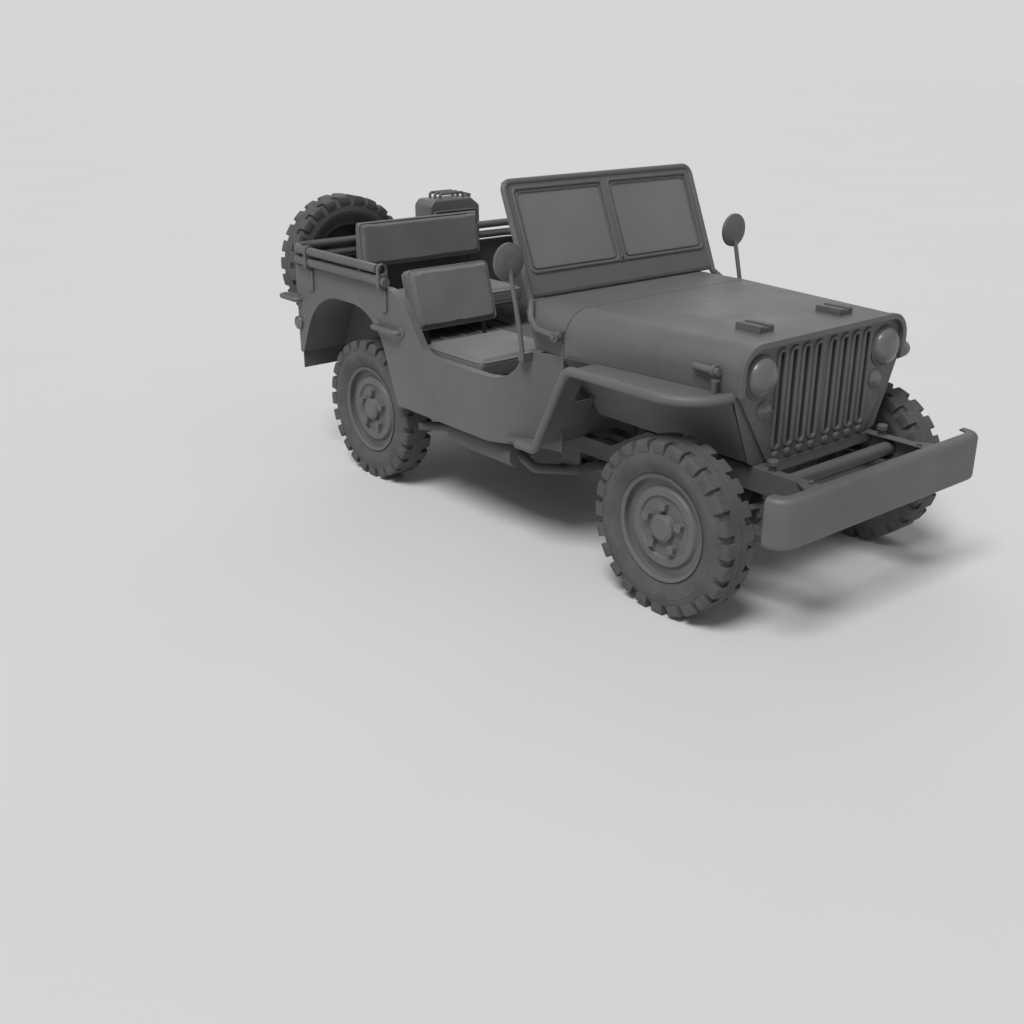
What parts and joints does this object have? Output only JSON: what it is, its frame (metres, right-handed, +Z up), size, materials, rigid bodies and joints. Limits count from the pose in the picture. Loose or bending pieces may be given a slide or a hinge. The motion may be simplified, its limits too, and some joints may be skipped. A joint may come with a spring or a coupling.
{
  "type": "open four-wheel-drive army car",
  "caption": "Small open army car with slotted grille, flat fenders, fold-down windshield, opening hood, steered front wheels and a spare wheel at the rear.",
  "frame": {"origin": "bottom centre of the whole car's box, on the ground between the four tyres", "axes": "+X to the front of the car, +Y to its left, +Z up"},
  "size_m": [3.355, 1.58, 1.545],
  "materials": {
    "body_paint": "matte",
    "chassis_paint": "matte",
    "tyre_rubber": "matte",
    "seat_canvas": "matte",
    "pane": "satin",
    "lamp_lens": "satin",
    "wood_block": "matte",
    "control_plastic": "satin"
  },
  "bodies": {
    "chassis": {"bow_brackets": "body_paint", "catch_posts": "body_paint", "chassis_frame": "chassis_paint", "cowl": "body_paint", "dashboard": "body_paint", "engine": "chassis_paint", "exhaust": "chassis_paint", "floor_pan": "body_paint", "front_axle": "chassis_paint", "front_bumper": "body_paint", "front_lamps": "lamp_lens", "front_seat_frames": "body_paint", "front_seat_pads": "seat_canvas", "fuel_can": "body_paint", "fuel_tank": "chassis_paint", "gear_levers": "control_plastic", "gearbox": "chassis_paint", "grab_handles": "body_paint", "grille": "body_paint", "leaf_springs": "chassis_paint", "left_body_side": "body_paint", "left_fender": "body_paint", "mirrors": "body_paint", "propshafts": "chassis_paint", "radiator": "chassis_paint", "rear_axle": "chassis_paint", "rear_bumperettes": "body_paint", "rear_carriers": "body_paint", "rear_panel": "body_paint", "rear_seat_frame": "body_paint", "rear_seat_pads": "seat_canvas", "right_body_side": "body_paint", "right_fender": "body_paint", "spare_tyre": "tyre_rubber", "spare_wheel": "body_paint", "steering_column": "body_paint", "top_bows": "body_paint", "tow_hitch": "chassis_paint", "wheel_houses": "body_paint", "windshield_pivots": "body_paint"},
    "hood": {"hood": "body_paint", "hood_blocks": "wood_block", "hood_catches": "body_paint"},
    "windshield": {"windshield_frame": "body_paint", "windshield_glass": "pane"},
    "steering_wheel": {"steering_wheel": "control_plastic"},
    "left_knuckle": {"left_knuckle": "chassis_paint"},
    "right_knuckle": {"right_knuckle": "chassis_paint"},
    "tie_rod": {"tie_rod": "chassis_paint"},
    "front_left_wheel": {"front_left_tyre": "tyre_rubber", "front_left_wheel": "body_paint"},
    "front_right_wheel": {"front_right_tyre": "tyre_rubber", "front_right_wheel": "body_paint"},
    "rear_left_wheel": {"rear_left_tyre": "tyre_rubber", "rear_left_wheel": "body_paint"},
    "rear_right_wheel": {"rear_right_tyre": "tyre_rubber", "rear_right_wheel": "body_paint"}
  },
  "joints": [
    {"name": "left_steer", "type": "hinge", "parent": "chassis", "child": "left_knuckle", "pos_m": [1.1325, 0.52, 0.35], "axis": [0, 0, 1], "range_deg": [-26, 26]},
    {"name": "right_steer", "type": "hinge", "parent": "chassis", "child": "right_knuckle", "pos_m": [1.1325, -0.52, 0.35], "axis": [0, 0, 1], "range_deg": [-26, 26]},
    {"name": "tie_rod_pivot", "type": "hinge", "parent": "left_knuckle", "child": "tie_rod", "pos_m": [1.2925, 0.52, 0.404], "axis": [0, 0, 1], "range_deg": [-26, 26]},
    {"name": "steering_wheel_turn", "type": "hinge", "parent": "chassis", "child": "steering_wheel", "pos_m": [-0.0135, 0.33, 1.05], "axis": [-0.8988, 0, 0.4384], "range_deg": [-364, 364]},
    {"name": "hood_open", "type": "hinge", "parent": "chassis", "child": "hood", "pos_m": [0.4895, 0, 1.063], "axis": [0, 1, 0], "range_deg": [-105, 0]},
    {"name": "windshield_fold", "type": "hinge", "parent": "chassis", "child": "windshield", "pos_m": [0.4615, 0, 0.965], "axis": [0, 1, 0], "range_deg": [0, 115]},
    {"name": "front_left_spin", "type": "hinge", "parent": "left_knuckle", "child": "front_left_wheel", "pos_m": [1.1325, 0.616, 0.35], "axis": [0, 1, 0], "continuous": true},
    {"name": "front_right_spin", "type": "hinge", "parent": "right_knuckle", "child": "front_right_wheel", "pos_m": [1.1325, -0.616, 0.35], "axis": [0, 1, 0], "continuous": true},
    {"name": "rear_left_spin", "type": "hinge", "parent": "chassis", "child": "rear_left_wheel", "pos_m": [-0.8995, 0.616, 0.35], "axis": [0, 1, 0], "continuous": true},
    {"name": "rear_right_spin", "type": "hinge", "parent": "chassis", "child": "rear_right_wheel", "pos_m": [-0.8995, -0.616, 0.35], "axis": [0, 1, 0], "continuous": true}
  ],
  "couplings": [
    {"joint": "right_steer", "follows": "left_steer", "ratio": 1},
    {"joint": "tie_rod_pivot", "follows": "left_steer", "ratio": -1},
    {"joint": "steering_wheel_turn", "follows": "left_steer", "ratio": 14}
  ]
}
